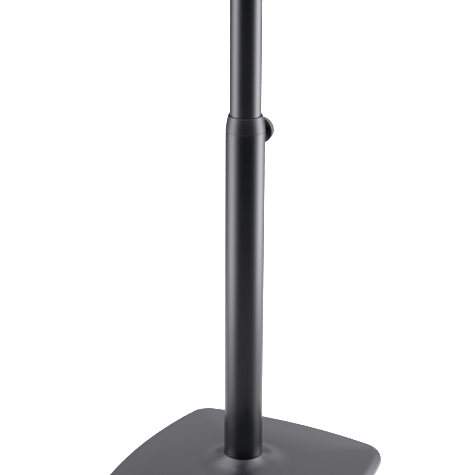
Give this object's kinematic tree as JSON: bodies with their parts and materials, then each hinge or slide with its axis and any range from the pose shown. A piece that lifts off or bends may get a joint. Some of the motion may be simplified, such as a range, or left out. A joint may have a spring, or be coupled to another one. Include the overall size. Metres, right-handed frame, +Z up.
{
  "type": "music stand",
  "caption": "Free-standing music stand: heavy square base with soft convex edges, telescopic round column with tapered clamp collar and round knob, tilting folded steel desk with shelf and lip",
  "frame": {"origin": "on the floor, on the column's axis, under the centre of the square base", "axes": "+Z up along the column; +X to the reader's right; +Y to the rear, away from the reader, where the clamp knob points"},
  "size_m": [0.5, 0.38, 1.2129],
  "materials": {
    "powder_coat": "satin black powder coat",
    "collar_plastic": "matt black moulded",
    "knob_plastic": "black moulded",
    "rubber": "matt black",
    "zinc_steel": "zinc plated",
    "nylon": "natural nylon",
    "brass": "turned",
    "black_steel": "blackened"
  },
  "bodies": {
    "base": {"base_casting": "powder_coat", "rubber_foot_front_left": "rubber", "rubber_foot_front_right": "rubber", "rubber_foot_rear_right": "rubber", "rubber_foot_rear_left": "rubber", "foot_screw_front_left": "zinc_steel", "foot_screw_front_right": "zinc_steel", "foot_screw_rear_right": "zinc_steel", "foot_screw_rear_left": "zinc_steel", "column_bolt": "zinc_steel", "column_lock_washer": "zinc_steel", "column_washer": "zinc_steel", "column_nut": "zinc_steel", "lower_tube": "powder_coat", "clamp_collar": "collar_plastic", "clamp_boss": "powder_coat"},
    "shoe": {"pressure_shoe": "nylon"},
    "clamp_handle": {"clamp_knob": "knob_plastic", "clamp_knob_cap": "knob_plastic", "clamp_screw": "zinc_steel"},
    "guide": {"guide_ring": "nylon"},
    "mast": {"upper_tube": "powder_coat", "retaining_ring": "zinc_steel", "tube_foot_cap": "nylon", "foot_cap_pin": "zinc_steel", "head_fork": "powder_coat", "head_screw_left": "zinc_steel", "head_screw_right": "zinc_steel", "tilt_bolt": "zinc_steel", "tilt_washer_left": "zinc_steel"},
    "tilt_washer": {"tilt_washer_right": "zinc_steel"},
    "tilt_handle": {"tilt_knob": "knob_plastic", "tilt_knob_cap": "knob_plastic", "tilt_knob_nut": "brass"},
    "desk": {"desk_panel": "powder_coat", "desk_bracket": "powder_coat", "desk_screw_lower_left": "black_steel", "desk_nut_lower_left": "zinc_steel", "desk_screw_lower_right": "black_steel", "desk_nut_lower_right": "zinc_steel", "desk_screw_upper_right": "black_steel", "desk_nut_upper_right": "zinc_steel", "desk_screw_upper_left": "black_steel", "desk_nut_upper_left": "zinc_steel", "shelf_pad": "rubber", "friction_disc_left": "nylon", "friction_disc_right": "nylon"}
  },
  "joints": [
    {"name": "height_slide", "type": "slide", "parent": "base", "child": "guide", "axis": [0, 0, 1], "range_m": [-0.32, 0.12]},
    {"name": "column_turn", "type": "hinge", "parent": "guide", "child": "mast", "pos_m": [0, 0, 0.381], "axis": [0, 0, 1], "continuous": true},
    {"name": "desk_tilt", "type": "hinge", "parent": "mast", "child": "desk", "pos_m": [0, 0, 1.03], "axis": [-1, 0, 0], "range_deg": [-25, 65]},
    {"name": "clamp_shoe_slide", "type": "slide", "parent": "base", "child": "shoe", "axis": [0, 1, 0], "range_m": [0, 0.0019]},
    {"name": "clamp_knob_turn", "type": "hinge", "parent": "shoe", "child": "clamp_handle", "pos_m": [0, 0.05, 0.569], "axis": [0, 1, 0], "range_deg": [0, 540]},
    {"name": "tilt_washer_slide", "type": "slide", "parent": "mast", "child": "tilt_washer", "axis": [1, 0, 0], "range_m": [0, 0.00152]},
    {"name": "tilt_knob_turn", "type": "hinge", "parent": "tilt_washer", "child": "tilt_handle", "pos_m": [0.03, 0, 1.03], "axis": [1, 0, 0], "range_deg": [0, 360]}
  ],
  "couplings": [
    {"joint": "clamp_shoe_slide", "follows": "clamp_knob_turn", "m_per_rad": 0.00019894},
    {"joint": "tilt_washer_slide", "follows": "tilt_knob_turn", "m_per_rad": 0.00023873}
  ]
}
